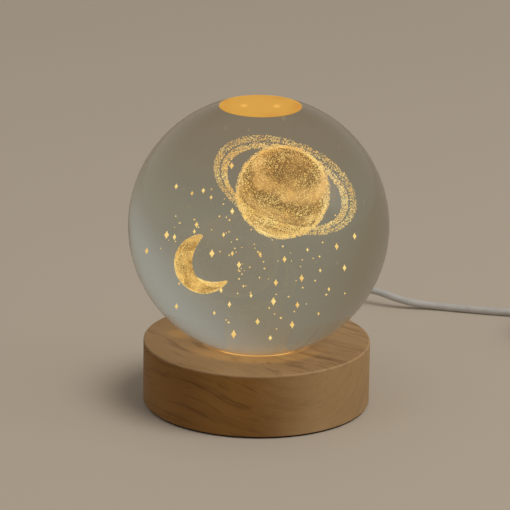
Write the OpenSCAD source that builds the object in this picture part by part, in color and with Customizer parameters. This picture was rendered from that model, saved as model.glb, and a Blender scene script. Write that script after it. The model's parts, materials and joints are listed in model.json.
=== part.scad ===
// Crystal ball lamp: an engraved glass ball on a round wooden base with warm
// lamps inside, and a low-voltage lead with a rocker switch and a plug.
// Millimetres, +Z up, front towards -Y. The origin is the centre of the
// underside, on the table.

/* [Ball] */
// Diameter of the glass ball
ball_d = 80; // [70:1:90]
// Diameter of the polished flat on top of the ball
top_flat_d = 25; // [16:1:32]
// Diameter of the flat foot under the ball
foot_flat_d = 25; // [20:1:27]
// Depth of the ball's foot below the top of the wood
foot_sink = 1.5; // [1:0.25:2.5]
// Clearance between the ball and its dished seat
seat_gap = 0.3; // [0.2:0.05:0.5]
// Width of the dished seat around the light well
seat_w = 2; // [1:0.25:2.5]

/* [Engraving] */
// Diameter of the engraved globe
globe_d = 20; // [14:0.5:21]
// Outer diameter of the ring round the globe
ring_d = 32; // [30:0.5:36]
// Width of the ring
ring_w = 3.4; // [1.5:0.1:4]
// Thickness of the ring
ring_t = 0.5; // [0.3:0.1:1]
// Height of the crescent from tip to tip
crescent_d = 12; // [8:0.5:14]
// Width of the field of stars
star_field_w = 42; // [30:1:48]
// Largest radius of a star
star_r = 0.8; // [0.5:0.05:1]
// Places in the star field, of which those near the globe and crescent stay empty
star_places = 60; // [20:1:90]
// Clearance between an engraved form and the clear glass round it
engrave_gap = 0.05; // [0.03:0.01:0.1]

/* [Wooden base] */
// Diameter of the wooden base
base_d = 70; // [66:1:80]
// Height of the wood
wood_h = 19.7; // [18:0.1:26]
// Rounding of the wood's top and bottom edges
wood_edge_r = 0.5; // [0.3:0.1:1.5]
// Depth of the light well, from the top of the wood to the window
well_depth = 6; // [5.5:0.25:8]
// Width of the ledge that carries the window
ledge_w = 2; // [1:0.25:3]
// Height of the lamp chamber between the circuit board and the window
chamber_h = 2.5; // [2:0.25:3.5]
// Clearance between the circuit board and the wall of its pocket
pocket_gap = 3; // [2.5:0.25:4]

/* [Window and circuit board] */
// Thickness of the light window
window_t = 1.5; // [1:0.25:2.5]
// Clearance round the light window
window_gap = 0.2; // [0.1:0.05:0.4]
// Board left outside its screw holes
board_rim = 1.2; // [1:0.1:1.8]
// Thickness of the circuit board
board_t = 1.6; // [1:0.2:2]
// Number of lamp chips
chip_n = 6; // [3:1:8]
// Side of a lamp chip
chip_w = 5; // [2.8:0.1:5]
// Height of a lamp chip
chip_h = 1.6; // [0.8:0.1:1.6]
// Diameter of the circle that the lamp chips stand on
chip_circle_d = 16; // [15:0.5:18]
// Wood left between the light well and the board screws
board_screw_wall = 1.3; // [1:0.1:1.4]

/* [Cover and foot pad] */
// Width of the ledge that carries the base cover
cover_ledge = 7; // [5.5:0.25:7.5]
// Thickness of the base cover
cover_t = 2; // [1.6:0.2:2.6]
// Clearance round the base cover
cover_gap = 0.2; // [0.1:0.05:0.4]
// Height of the cover's locating ring
spigot_h = 1.2; // [0.8:0.1:2]
// Wall of the cover's locating ring
spigot_w = 1.2; // [0.8:0.1:2]
// Thickness of the foot pad
pad_t = 0.5; // [0.4:0.1:2]
// Setback of the foot pad from the wood's side
pad_inset = 0.6; // [0.3:0.1:2]

/* [Screws] */
// Diameter of the screw threads
screw_d = 2.2; // [1.8:0.1:2.6]
// Diameter of the screw heads
screw_head_d = 4.2; // [3.6:0.1:4.8]
// Height of the screw heads
screw_head_h = 1.3; // [1:0.1:1.5]
// Length of a cover screw under its head
cover_screw_l = 7; // [5:0.5:10]
// Length of a board screw under its head
board_screw_l = 6; // [4:0.5:7]
// Clearance round a screw
screw_gap = 0.1; // [0.05:0.05:0.2]

/* [Cord and gland] */
// Diameter of the cord
cord_d = 2.4; // [2:0.1:2.8]
// Clearance round the cord where it passes through a piece
cord_gap = 0.1; // [0.05:0.05:0.2]
// Diameter of the gland where it passes through the wood
gland_d = 4.4; // [4.2:0.1:4.8]
// Diameter of the gland's flange
flange_d = 8; // [7:0.5:9]
// Thickness of the gland's flange
flange_t = 1.5; // [1:0.25:2]
// Length of the gland's tapered nose
nose_l = 8.5; // [6:0.5:10]
// Diameter of a core of the cord
core_d = 1; // [0.8:0.05:1.1]

/* [Coil of spare cord] */
// Radius of the outermost turn
coil_r = 18; // [17:0.5:20]
// Number of turns, of which the last is a quarter
coil_turns = 11.25; // [10.25:1:12.25]
// Clearance between turns side by side and between layers
coil_gap = 0.9; // [0.85:0.05:1]
// Thickness of the tie round the coil
tie_t = 0.6; // [0.4:0.1:0.6]
// Width of the tie
tie_w = 5; // [3:0.5:8]

/* [Inline switch] */
// Length of the switch housing
switch_l = 46; // [44:0.5:50]
// Width of the switch housing at its middle
switch_w = 15; // [14.5:0.5:18]
// Width of the switch housing at its ends
switch_end_w = 11; // [10.5:0.5:12]
// Height of the switch housing
switch_h = 11; // [11:0.5:13]
// Wall of the switch housing
switch_wall = 1.6; // [1.4:0.1:1.8]
// Length of the pocket for the rocker
switch_pocket_l = 26; // [24:0.5:28]
// Length of the rocker
rocker_l = 16.6; // [14:0.2:18]
// Width of the rocker
rocker_w = 8; // [6.5:0.1:8]
// Tilt of the rocker to either side
rocker_tilt = 8; // [5:0.5:9]
// Clearance round the rocker
rocker_gap = 0.3; // [0.2:0.05:0.35]
// Diameter of the rocker's pivot pins
pivot_d = 1.8; // [1.4:0.1:2]

/* [Plug] */
// Width of the plug's grip
grip_w = 15; // [14:0.5:17]
// Height of the plug's grip
grip_h = 7.8; // [7:0.2:9]
// Length of the plug's grip
grip_l = 18; // [16:0.5:22]
// Length of the plug's strain relief
relief_l = 9; // [7:0.5:12]
// Width of the plug's metal shell
shell_w = 12; // [11.8:0.1:12.2]
// Height of the plug's metal shell
shell_h = 4.5; // [4.4:0.1:4.7]
// Wall of the plug's metal shell
shell_wall = 0.3; // [0.25:0.05:0.4]
// Length of the metal shell outside the grip
shell_out = 12; // [11:0.5:13]
// Length of the metal shell inside the grip
shell_in = 6; // [4:0.5:8]
// Thickness of the tongue inside the metal shell
tongue_t = 1.84; // [1.7:0.02:1.9]

/* [Hidden] */
$fn = 96;
eps = 0.01;

// Heights of the base, from the table up
base_h = pad_t + wood_h;
cover_top = pad_t + cover_t;
window_top = base_h - well_depth;
window_z = window_top - window_t;
ceiling_z = window_z - chamber_h;
board_z = ceiling_z - board_t;

// The ball over its seat
ball_r = ball_d / 2;
foot_h = sqrt(ball_r * ball_r - foot_flat_d * foot_flat_d / 4);
top_h = sqrt(ball_r * ball_r - top_flat_d * top_flat_d / 4);
ball_z = base_h - foot_sink + foot_h;
dish_r = ball_r + seat_gap;
dish_top_r = sqrt(dish_r * dish_r - pow(ball_z - base_h, 2));
well_r = dish_top_r - seat_w;
chamber_r = well_r - ledge_w;
board_screw_circle_d = 2 * (well_r + board_screw_wall + screw_gap) + screw_d;
board_d = board_screw_circle_d + screw_d + 2 * (screw_gap + board_rim);
pocket_d = board_d + 2 * pocket_gap;
cover_d = pocket_d + 2 * cover_ledge;

// The engraved design, from the middle of the ball
globe_at = [5, 0, 7.5];
ring_lean = 12;
ring_roll = 20;
crescent_at = [-11, -1, -8];
crescent_bite = [0.36, 0.21];
crescent_bite_share = 0.9;
golden_angle = 137.508;
star_depth = 8;
star_drop = 3;
star_margin = 1.4;
ring_normal = [sin(ring_roll) * cos(ring_lean), -sin(ring_lean),
    cos(ring_roll) * cos(ring_lean)];

// The base's pocket and its screws
cover_screw_circle_d = (pocket_d + cover_d) / 2;
screw_angles = [30, 150, 270];
spigot_notch_w = 9;
slot_w = 0.6;
slot_depth = 0.6;

// The cord where it enters the base
hole_z = (cover_top + ceiling_z) / 2;
exit_y = base_d / 2 + flange_t + nose_l;
gland_back_y = pocket_d / 2 + 1;
gland_tip_r = cord_d / 2 + cord_gap + 0.5;
stop_d = cord_d + 1.2;
stop_l = 2;
stop_y = pocket_d / 2 - 0.4 - stop_l;
jacket_end_y = stop_y - 2;
core_x = 0.6;
solder_y = board_d / 5;
solder_r = 1.3;
resistor_size = [2, 1.2, 0.6];
resistor_shares = [-0.25, -0.15, 0.15];
resistor_y_share = -0.1;
solder_h = 1;
wire_bend_r = 1;

// The free cord's route, chosen by hand; its first and last points are where it meets other pieces
lead_start = [0, exit_y, hole_z];
lead_route = [[0, 51, 6.3], [0.4, 57, 6.3], [1.5, 63, 6.3], [3.4, 68.8, 6.2], [6, 74.4, 6.1],
    [9.3, 79.8, 6], [13.5, 85.3, 5.8], [18.5, 90.7, 5.6], [23.5, 94.8, 5.4], [29, 97.1, 5.2],
    [34.9, 97.2, 4.9], [40.3, 95.2, 4.5], [45.6, 92.7, 3.4], [51, 91.6, 2.2], [56.5, 91.3, 1.5],
    [62, 90.3, 1.2], [68, 88.8, 1.2], [74, 87.4, 1.2], [80, 86.2, 1.2], [86, 84.9, 1.4],
    [92, 82.4, 1.6], [98, 79.8, 1.8], [103, 79, 1.9]];
coil_x = 110;
coil_y = 61;
layers = 4;
climb_turns = 0.5;
rings_per_turn = 24;
coil_sides = 6;
cord_sides = 8;
tie_gap = 0.1;
coil_step = cord_d + coil_gap;
coil_z = cord_d / 2 + tie_t + tie_gap;
layer_turns = (coil_turns - (layers - 1) * climb_turns) / layers;
coil_inner_r = coil_r - coil_step * layer_turns;
coil_top_z = coil_z + (layers - 1) * coil_step;
lead_end = [coil_x - cord_d, coil_y + coil_r, coil_z];
run_x = coil_x + coil_r;
run_start = [run_x, coil_y - cord_d, coil_top_z];
run_route = [[128, 53, 11.4], [128, 47, 9.9], [128, 41, 7.6], [128, 35, 5], [128, 29, 2.8],
    [128, 23, 1.6], [128, 17, 1.9], [128, 11, 3.6]];

// The switch on the cord
switch_y = -20;
switch_split = switch_h / 2;
switch_round = 1.5;
run_end = [run_x, switch_y + switch_l / 2, switch_split];
side_sag = (switch_w - switch_end_w) / 2;
side_r = (pow(switch_l / 2, 2) + side_sag * side_sag) / (2 * side_sag);
pocket_w = switch_w - 2 * switch_wall - 0.6;
rocker_r = rocker_l / 2;
rocker_drop = 1.6;
rocker_proud = 0.3;
pivot_z = switch_h - 1.8;
pivot_gap = 0.05;
pin_reach = 1.3;
rocker_top = (switch_h - pivot_z + rocker_proud) / cos(rocker_tilt);
rail_l = 6;
rail_drop = 2;
contact_w = 4;
contact_t = 0.5;
contact_l = 8;
contact_y = 7.5;
switch_screw_x = 3.9;
switch_screw_y = 18;
switch_screw_d = 2;
switch_screw_head_d = 3.4;
switch_screw_l = switch_h - 3;

// The tail and the plug beside the switch
tail_start = [run_x, switch_y - switch_l / 2, switch_split];
tail_route = [[128, -49, 4.7], [127.5, -54.5, 3], [125, -59.5, 1.7], [120.5, -63, 1.2],
    [115.5, -64, 1.2], [110.5, -63, 1.3], [106, -59.5, 1.8], [103.5, -54.5, 2.8],
    [103, -49, 3.6]];
plug_x = 103;
plug_y = -43;
plug_z = grip_h / 2;
grip_round = 2;
shell_hole = [2.2, 2];
shell_hole_x = 2.7;
shell_hole_y = 5.6;
contact_xs = [-3.5, -1, 1, 3.5];
pin_w = 1;
pin_t = 0.25;
pin_l = 8;
fit_gap = 0.05;

function unit(v) = v / norm(v);

// One ring of a tube: points round p, square to the direction t
function ring_points(p, t, r, sides) =
    let (side = unit(cross(t, [0, 0, 1])), up = cross(side, t))
    [for (k = [0:sides - 1]) let (a = 90 + 360 * k / sides) p + r * (cos(a) * side + sin(a) * up)];

// The direction of a route at its point i, square to its end faces
function route_dir(route, i, first, last) =
    i == 0 ? first : i == len(route) - 1 ? last : unit(route[i + 1] - route[i - 1]);

// One unbroken tube along a route
module tube(route, d, sides, first, last) {
    rings = len(route);
    points = [for (i = [0:rings - 1])
        each ring_points(route[i], route_dir(route, i, first, last), d / 2, sides)];
    walls = [for (i = [0:rings - 2], k = [0:sides - 1])
        let (a = i * sides + k, b = i * sides + (k + 1) % sides)
        each [[a, b, b + sides], [a, b + sides, a + sides]]];
    start_cap = [for (k = [1:sides - 2]) [0, k + 1, k]];
    tip = (rings - 1) * sides;
    end_cap = [for (k = [1:sides - 2]) [tip, tip + k, tip + k + 1]];
    polyhedron(points, concat(walls, start_cap, end_cap), convexity = 10);
}

// A smooth step from 0 to 1
function ease(s) = s * s * (3 - 2 * s);

// Radius and height of the coil after t turns: each layer spirals in or out,
// and the half turn between two layers climbs to the next
function coil_place(t) =
    let (span = layer_turns + climb_turns,
        layer = min(layers - 1, floor(t / span)),
        s = t - layer * span,
        run = min(s, layer_turns) * coil_step,
        climb = layer < layers - 1 ? ease(max(0, s - layer_turns) / climb_turns) : 0)
    [layer % 2 == 0 ? coil_r - run : coil_inner_r + run,
        coil_z + (layer + climb) * coil_step];

function coil_point(t) =
    let (place = coil_place(t), a = 90 - 360 * t)
    [coil_x + place[0] * cos(a), coil_y + place[0] * sin(a), place[1]];

coil_rings = round(coil_turns * rings_per_turn);
coil_route = concat([lead_end],
    [for (i = [0:coil_rings]) coil_point(i / rings_per_turn)], [run_start]);

// Least gap between turns, over points at least half a turn apart
function least_gap(route) = min([for (i = [0:len(route) - 1])
    for (j = [i + rings_per_turn / 2:1:len(route) - 1]) norm(route[i] - route[j])]) - cord_d;

module place_on_circle(d, angles) {
    for (a = angles) rotate(a) translate([d / 2, 0, 0]) children();
}

module rounded_rect(w, h, r) {
    square([w - 2 * r, h], center = true);
    square([w, h - 2 * r], center = true);
    for (x = [-1, 1], y = [-1, 1]) translate([x * (w / 2 - r), y * (h / 2 - r)]) circle(r);
}

// Half profile of a disc with rounded edges, for turning
module disc_profile(d, h, r) {
    square([d / 2 - r, h]);
    translate([0, r]) square([d / 2, h - 2 * r]);
    for (z = [r, h - r]) translate([d / 2 - r, z]) circle(r);
}

// Screw with the tip of its thread at the origin and a cross slot in its head, which
// widens from under_d: the thread's diameter when it is countersunk, its own when flat
module screw(d, l, under_d, head_d, head_h) {
    difference() {
        union() {
            cylinder(d = d, h = l + eps);
            translate([0, 0, l]) cylinder(d1 = under_d, d2 = head_d, h = head_h);
        }
        for (a = [0, 90]) rotate(a)
            translate([-head_d * 0.3, -slot_w / 2, l + head_h - slot_depth])
                cube([head_d * 0.6, slot_w, 1]);
    }
}

// The room that such a screw takes, for holes
module screw_hole(d, l, head_d, head_h, gap) {
    translate([0, 0, -1]) cylinder(d = d + 2 * gap, h = l + 1 + eps);
    translate([0, 0, l]) cylinder(d1 = d + 2 * gap, d2 = head_d + 2 * gap, h = head_h);
    translate([0, 0, l + head_h - eps]) cylinder(d = head_d + 2 * gap, h = 1);
}

// Cover screws point up from the cover's underside, and board screws from under the board
module place_cover_screws() {
    translate([0, 0, pad_t + cover_screw_l + screw_head_h])
        place_on_circle(cover_screw_circle_d, screw_angles) mirror([0, 0, 1]) children();
}

module place_board_screws() {
    translate([0, 0, board_z + board_screw_l])
        place_on_circle(board_screw_circle_d, screw_angles) mirror([0, 0, 1]) children();
}

// The engraved globe with its ring, grown by a clearance
module planet_form(grow) {
    translate(globe_at) {
        sphere(d = globe_d + 2 * grow);
        rotate([ring_lean, ring_roll, 0]) rotate_extrude()
            translate([ring_d / 2 - ring_w - grow, -ring_t / 2 - grow])
                square([ring_w + 2 * grow, ring_t + 2 * grow]);
    }
}

// The crescent: a small globe with a round bite right through, seen from the front
module crescent_form(grow) {
    r = crescent_d / 2;
    translate(crescent_at) difference() {
        sphere(r = r + grow);
        translate([crescent_bite[0] * r, -crescent_d, crescent_bite[1] * r]) rotate([-90, 0, 0])
            cylinder(r = crescent_bite_share * r - grow, h = 2 * crescent_d);
    }
}

// The stars lie in an even spiral that is clear of the globe, its ring and the crescent
function star_place(i) =
    let (share = sqrt((i + 0.5) / star_places), a = i * golden_angle)
    [share * star_field_w / 2 * cos(a), star_depth * sin(i * golden_angle / 2),
        share * star_field_w / 2 * sin(a) - star_drop];

function off_globe(p) =
    let (v = p - globe_at, up = v * ring_normal, out = norm(v - up * ring_normal))
    norm(v) > globe_d / 2 + star_margin + star_r
        && (abs(up) > star_margin + star_r || out > ring_d / 2 + star_margin + star_r);

function off_crescent(p) = norm(p - crescent_at) > crescent_d / 2 + star_margin + star_r;

function star_size(i) = star_r * (0.55 + 0.45 * abs(sin(i * 83)));

star_ids = [for (i = [0:star_places - 1])
    if (off_globe(star_place(i)) && off_crescent(star_place(i))) i];

// One star: two four-sided points back to back, narrow across
module star(r) {
    w = 0.62 * r;
    polyhedron([[0, 0, r], [w, 0, 0], [0, w, 0], [-w, 0, 0], [0, -w, 0], [0, 0, -r]],
        [[0, 2, 1], [0, 3, 2], [0, 4, 3], [0, 1, 4], [5, 1, 2], [5, 2, 3], [5, 3, 4], [5, 4, 1]]);
}

module stars_form(grow) {
    for (i = star_ids) translate(star_place(i)) star(star_size(i) + 2 * grow);
}

module crystal_ball() {
    color([0.80, 0.82, 0.76, 0.35]) translate([0, 0, ball_z]) difference() {
        intersection() {
            sphere(d = ball_d, $fn = 128);
            translate([0, 0, -foot_h]) cylinder(d = ball_d + 2, h = foot_h + top_h);
        }
        planet_form(engrave_gap);
        crescent_form(engrave_gap);
        stars_form(engrave_gap);
    }
}

module engraved_planet() {
    color([1, 0.78, 0.36]) translate([0, 0, ball_z]) planet_form(0);
}

module engraved_crescent() {
    color([1, 0.76, 0.36]) translate([0, 0, ball_z]) crescent_form(0);
}

module engraved_stars() {
    color([1, 0.8, 0.42]) translate([0, 0, ball_z]) stars_form(0);
}

module wood_base() {
    color([0.62, 0.45, 0.29]) difference() {
        translate([0, 0, pad_t]) rotate_extrude() disc_profile(base_d, wood_h, wood_edge_r);
        translate([0, 0, ball_z]) sphere(r = dish_r, $fn = 128);
        translate([0, 0, window_z]) cylinder(r = well_r, h = base_h);
        translate([0, 0, ceiling_z - 1]) cylinder(r = chamber_r, h = base_h);
        cylinder(d = pocket_d, h = ceiling_z);
        cylinder(d = cover_d + 2 * cover_gap, h = cover_top);
        translate([0, 0, hole_z]) rotate([-90, 0, 0])
            cylinder(d = gland_d + 2 * cord_gap, h = base_d);
        place_cover_screws()
            screw_hole(screw_d, cover_screw_l, screw_head_d, screw_head_h, screw_gap);
        place_board_screws()
            screw_hole(screw_d, board_screw_l, screw_d, screw_head_h, screw_gap);
    }
}

module light_window() {
    color([0.93, 0.9, 0.82, 0.8]) translate([0, 0, window_z])
        cylinder(r = well_r - window_gap, h = window_t);
}

module led_board() {
    color([0.92, 0.92, 0.88]) difference() {
        translate([0, 0, board_z]) cylinder(d = board_d, h = board_t);
        place_board_screws()
            screw_hole(screw_d, board_screw_l, screw_d, screw_head_h, screw_gap);
    }
}

// Each chip is a pale case with a shallow round well of phosphor
module led_chips() {
    color([0.98, 0.85, 0.4]) translate([0, 0, ceiling_z])
        place_on_circle(chip_circle_d, [for (i = [0:chip_n - 1]) 360 * i / chip_n])
            difference() {
                translate([-chip_w / 2, -chip_w / 2, 0]) cube([chip_w, chip_w, chip_h]);
                translate([0, 0, chip_h - 0.2]) cylinder(d = chip_w * 0.8, h = 1);
            }
}

module resistors() {
    color([0.12, 0.12, 0.13]) for (share = resistor_shares)
        translate([share * board_d, resistor_y_share * board_d, board_z - resistor_size[2]])
            cube(resistor_size);
}

module board_screws() {
    color([0.72, 0.73, 0.75]) place_board_screws()
        screw(screw_d, board_screw_l, screw_head_d, screw_head_d * 0.9, screw_head_h);
}

module solder_joints() {
    color([0.75, 0.76, 0.78]) for (x = [-1, 1])
        translate([x * core_x * 2, solder_y, board_z - solder_h]) difference() {
            cylinder(r1 = solder_r * 0.6, r2 = solder_r * 0.85, h = solder_h);
            translate([0, 0, -1]) cylinder(d = core_d + 2 * fit_gap, h = solder_h + 2);
        }
}

// A core from the jacket's end to its joint under the board, side is -1 or 1
module core_wire(side) {
    spread = core_x * 2;
    translate([side * spread, solder_y, 0]) {
        translate([0, 0, hole_z + wire_bend_r])
            cylinder(d = core_d, h = board_z - hole_z - wire_bend_r);
        translate([0, wire_bend_r, hole_z]) rotate([-90, 0, 0])
            cylinder(d = core_d, h = jacket_end_y - solder_y - wire_bend_r);
        translate([0, wire_bend_r, hole_z + wire_bend_r]) rotate([90, 0, 90])
            rotate([0, 0, 180]) rotate_extrude(angle = 90)
                translate([wire_bend_r, 0]) circle(d = core_d, $fn = 32);
    }
}

module red_wire() {
    color([0.75, 0.12, 0.1]) core_wire(1);
}

module black_wire() {
    color([0.08, 0.08, 0.08]) core_wire(-1);
}

module cord_inner() {
    color([0.93, 0.93, 0.92]) translate([0, jacket_end_y, hole_z]) rotate([-90, 0, 0])
        cylinder(d = cord_d, h = exit_y - jacket_end_y);
}

// Tie drawn tight round the jacket inside the base, so the cord can't be pulled out
module cord_stop() {
    color([0.9, 0.9, 0.88]) translate([0, stop_y, hole_z]) rotate([-90, 0, 0]) difference() {
        union() {
            cylinder(d = stop_d, h = stop_l);
            translate([stop_d / 2 - 0.5, -1.25, 0]) cube([2.5, 2.5, stop_l]);
        }
        translate([0, 0, -1]) cylinder(d = cord_d + 2 * fit_gap, h = stop_l + 2);
    }
}

// Rubber gland: a sleeve in the wood, a flange on its side and a ribbed, tapered nose
module cord_gland() {
    rib = nose_l / 8;
    color([0.88, 0.88, 0.87]) difference() {
        union() {
            translate([0, gland_back_y, hole_z]) rotate([-90, 0, 0])
                cylinder(d = gland_d, h = base_d / 2 + flange_t - gland_back_y);
            difference() {
                translate([0, gland_back_y, hole_z]) rotate([-90, 0, 0])
                    cylinder(d = flange_d, h = base_d / 2 + flange_t - gland_back_y);
                cylinder(d = base_d + 2 * fit_gap, h = base_h);
            }
            translate([0, base_d / 2 + flange_t, hole_z]) rotate([-90, 0, 0]) {
                cylinder(r1 = gland_d / 2, r2 = gland_tip_r, h = nose_l);
                for (i = [1:3]) translate([0, 0, (2 * i - 1) * rib])
                    cylinder(r = gland_d / 2 + 0.4 - 0.15 * i, h = rib);
            }
        }
        translate([0, 0, hole_z]) rotate([-90, 0, 0])
            cylinder(d = cord_d + 2 * cord_gap, h = base_d);
    }
}

module base_cover() {
    spigot_r = pocket_d / 2 - 0.3;
    color([0.1, 0.1, 0.1]) difference() {
        union() {
            translate([0, 0, pad_t]) cylinder(d = cover_d, h = cover_t);
            difference() {
                translate([0, 0, pad_t]) cylinder(r = spigot_r, h = cover_t + spigot_h);
                translate([0, 0, cover_top]) cylinder(r = spigot_r - spigot_w, h = base_h);
                translate([-spigot_notch_w / 2, 0, cover_top])
                    cube([spigot_notch_w, base_d, base_h]);
            }
        }
        place_cover_screws()
            screw_hole(screw_d, cover_screw_l, screw_head_d, screw_head_h, screw_gap);
    }
}

module cover_screws() {
    color([0.3, 0.3, 0.32]) place_cover_screws()
        screw(screw_d, cover_screw_l, screw_d, screw_head_d, screw_head_h);
}

module foot_pad() {
    color([0.07, 0.06, 0.06]) rotate_extrude()
        disc_profile(base_d - 2 * pad_inset, pad_t, pad_t / 4);
}

module cord_lead() {
    color([0.93, 0.93, 0.92])
        tube(concat([lead_start], lead_route, [lead_end]), cord_d, cord_sides, [0, 1, 0], [1, 0, 0]);
}

module cord_coil() {
    echo(least_gap_between_turns = least_gap(coil_route));
    color([0.93, 0.93, 0.92]) tube(coil_route, cord_d, coil_sides, [1, 0, 0], [0, -1, 0]);
}

// Strap round the turns at the coil's front
module cord_tie() {
    inner_w = coil_r - coil_inner_r + cord_d + 2 * tie_gap;
    inner_h = (layers - 1) * coil_step + cord_d + 2 * tie_gap;
    middle = (coil_r + coil_inner_r) / 2;
    color([0.2, 0.2, 0.21])
        translate([coil_x - tie_w / 2, coil_y - middle, tie_t + inner_h / 2])
            rotate([90, 0, 90]) linear_extrude(tie_w) difference() {
                rounded_rect(inner_w + 2 * tie_t, inner_h + 2 * tie_t, tie_t + 0.3);
                rounded_rect(inner_w, inner_h, 0.3);
            }
}

module cord_run() {
    color([0.93, 0.93, 0.92])
        tube(concat([run_start], run_route, [run_end]), cord_d, cord_sides, [0, -1, 0], [0, -1, 0]);
}

module place_switch() {
    translate([run_x, switch_y, 0]) children();
}

// Outline of the switch: bowed sides and square ends, drawn in by an inset
module switch_outline(inset) {
    off = side_r - switch_w / 2 + inset;
    intersection() {
        translate([-off, 0]) circle(side_r, $fn = 256);
        translate([off, 0]) circle(side_r, $fn = 256);
        square([switch_w, switch_l - 2 * inset], center = true);
    }
}

// Half housing from its open face at z = 0 up to h, with its far edges rounded
module switch_half(h) {
    hull() {
        linear_extrude(h - switch_round) switch_outline(0);
        linear_extrude(h - switch_round / 3) switch_outline(switch_round / 3);
        linear_extrude(h) switch_outline(switch_round);
    }
}

module switch_screw_places() {
    for (s = [-1, 1]) translate([s * switch_screw_x, s * switch_screw_y, 0])
        translate([0, 0, switch_screw_l + screw_head_h]) mirror([0, 0, 1]) children();
}

// What both halves leave open: the cord's channels and the screws
module switch_bores() {
    translate([0, -switch_l, switch_split]) rotate([-90, 0, 0])
        cylinder(d = cord_d + 2 * cord_gap, h = 2 * switch_l);
    switch_screw_places()
        screw_hole(switch_screw_d, switch_screw_l, switch_screw_head_d, screw_head_h, screw_gap);
}

module switch_lower_shell() {
    color([0.94, 0.94, 0.93]) place_switch() difference() {
        translate([0, 0, switch_split]) mirror([0, 0, 1]) switch_half(switch_split);
        translate([-pocket_w / 2, -switch_pocket_l / 2, switch_wall])
            cube([pocket_w, switch_pocket_l, switch_h]);
        switch_bores();
    }
}

module switch_upper_shell() {
    window_l = rocker_l + 2 * rocker_gap;
    window_w = rocker_w + 2 * rocker_gap;
    color([0.94, 0.94, 0.93]) place_switch() difference() {
        translate([0, 0, switch_split]) switch_half(switch_h - switch_split);
        difference() {
            translate([-pocket_w / 2, -switch_pocket_l / 2, 0])
                cube([pocket_w, switch_pocket_l, switch_h - switch_wall]);
            for (s = [-1, 1]) translate([s * (window_w / 2 + 2) - 2, -rail_l / 2, pivot_z - rail_drop])
                cube([4, rail_l, switch_h]);
        }
        translate([-window_w / 2, -window_l / 2, 0]) cube([window_w, window_l, 2 * switch_h]);
        translate([0, 0, pivot_z]) rotate([0, 90, 0])
            cylinder(d = pivot_d + 2 * pivot_gap, h = rocker_w + 2 * pin_reach + 0.2,
                center = true);
        switch_bores();
    }
}

// Rocker: a round-ended wedge with a shallow valley on top, turning on two pins.
// At rest its near end is pressed down, which is on.
module switch_rocker() {
    reach = rocker_r + 1;
    rise = reach * tan(rocker_tilt);
    color([0.9, 0.9, 0.89]) place_switch() translate([0, 0, pivot_z])
        rotate([rocker_tilt, 0, 0]) rotate([90, 0, 90]) {
            linear_extrude(rocker_w, center = true) intersection() {
                circle(rocker_r);
                polygon([[-reach, -rocker_drop], [reach, -rocker_drop],
                    [reach, rocker_top + rise], [0, rocker_top], [-reach, rocker_top + rise]]);
            }
            cylinder(d = pivot_d, h = rocker_w + 2 * pin_reach, center = true);
        }
}

// Two sprung strips on the pocket's floor, each bent up under an end of the rocker
module switch_contacts() {
    color([0.85, 0.68, 0.32]) place_switch() for (s = [-1, 1])
        translate([-contact_w / 2, s * contact_y - contact_l / 2, switch_wall]) {
            cube([contact_w, contact_l, contact_t]);
            translate([0, s > 0 ? contact_l - contact_t : 0, 0])
                cube([contact_w, contact_t, switch_split - switch_wall - cord_d / 2 - 0.4]);
            translate([contact_w / 2, contact_l / 2, 0]) cylinder(d = 2, h = contact_t + 0.6);
        }
}

// The ends of the jacket inside the switch, each with its two cores
module switch_leads() {
    stub = (switch_l - switch_pocket_l) / 2 + 1;
    color([0.93, 0.93, 0.92]) place_switch() for (s = [0, 180]) rotate(s)
        translate([0, switch_l / 2, switch_split]) rotate([90, 0, 0]) {
            cylinder(d = cord_d, h = stub);
            for (x = [-1, 1]) translate([x * core_x, 0, 0])
                cylinder(d = core_d, h = stub + 3, $fn = 32);
        }
}

module switch_screws() {
    color([0.72, 0.73, 0.75]) place_switch() switch_screw_places()
        screw(switch_screw_d, switch_screw_l, switch_screw_d, switch_screw_head_d, screw_head_h);
}

module cord_tail() {
    color([0.93, 0.93, 0.92])
        tube(concat([tail_start], tail_route, [[plug_x, plug_y, plug_z]]), cord_d, cord_sides,
            [0, -1, 0], [0, 1, 0]);
}

// The plug's own frame: its axis is +Y, from the cord to the metal shell
module place_plug() {
    translate([plug_x, plug_y, plug_z]) children();
}

module shell_block(w, h, from_y, to_y) {
    translate([-w / 2, from_y, -h / 2]) cube([w, to_y - from_y, h]);
}

grip_end = relief_l + grip_l;
shell_back = grip_end - shell_in;
shell_front = grip_end + shell_out;

// Soft grip with a tapered back and a ribbed strain relief
module plug_grip() {
    rib = relief_l / 7;
    color([0.93, 0.93, 0.92]) place_plug() difference() {
        union() {
            hull() {
                translate([0, grip_end, 0]) rotate([90, 0, 0]) linear_extrude(grip_l * 0.7)
                    rounded_rect(grip_w, grip_h, grip_round, $fn = 32);
                translate([0, relief_l + 1, 0]) rotate([90, 0, 0]) linear_extrude(1)
                    rounded_rect(grip_w * 0.6, grip_h * 0.8, grip_round, $fn = 32);
            }
            rotate([-90, 0, 0]) {
                cylinder(r1 = cord_d / 2 + 0.5, r2 = grip_h * 0.36, h = relief_l + 0.5);
                for (i = [1:3]) translate([0, 0, (2 * i - 1) * rib])
                    cylinder(r = cord_d / 2 + 1 + 0.35 * i, h = rib);
            }
        }
        shell_block(shell_w + 2 * fit_gap, shell_h + 2 * fit_gap, shell_back, shell_front);
    }
}

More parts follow.
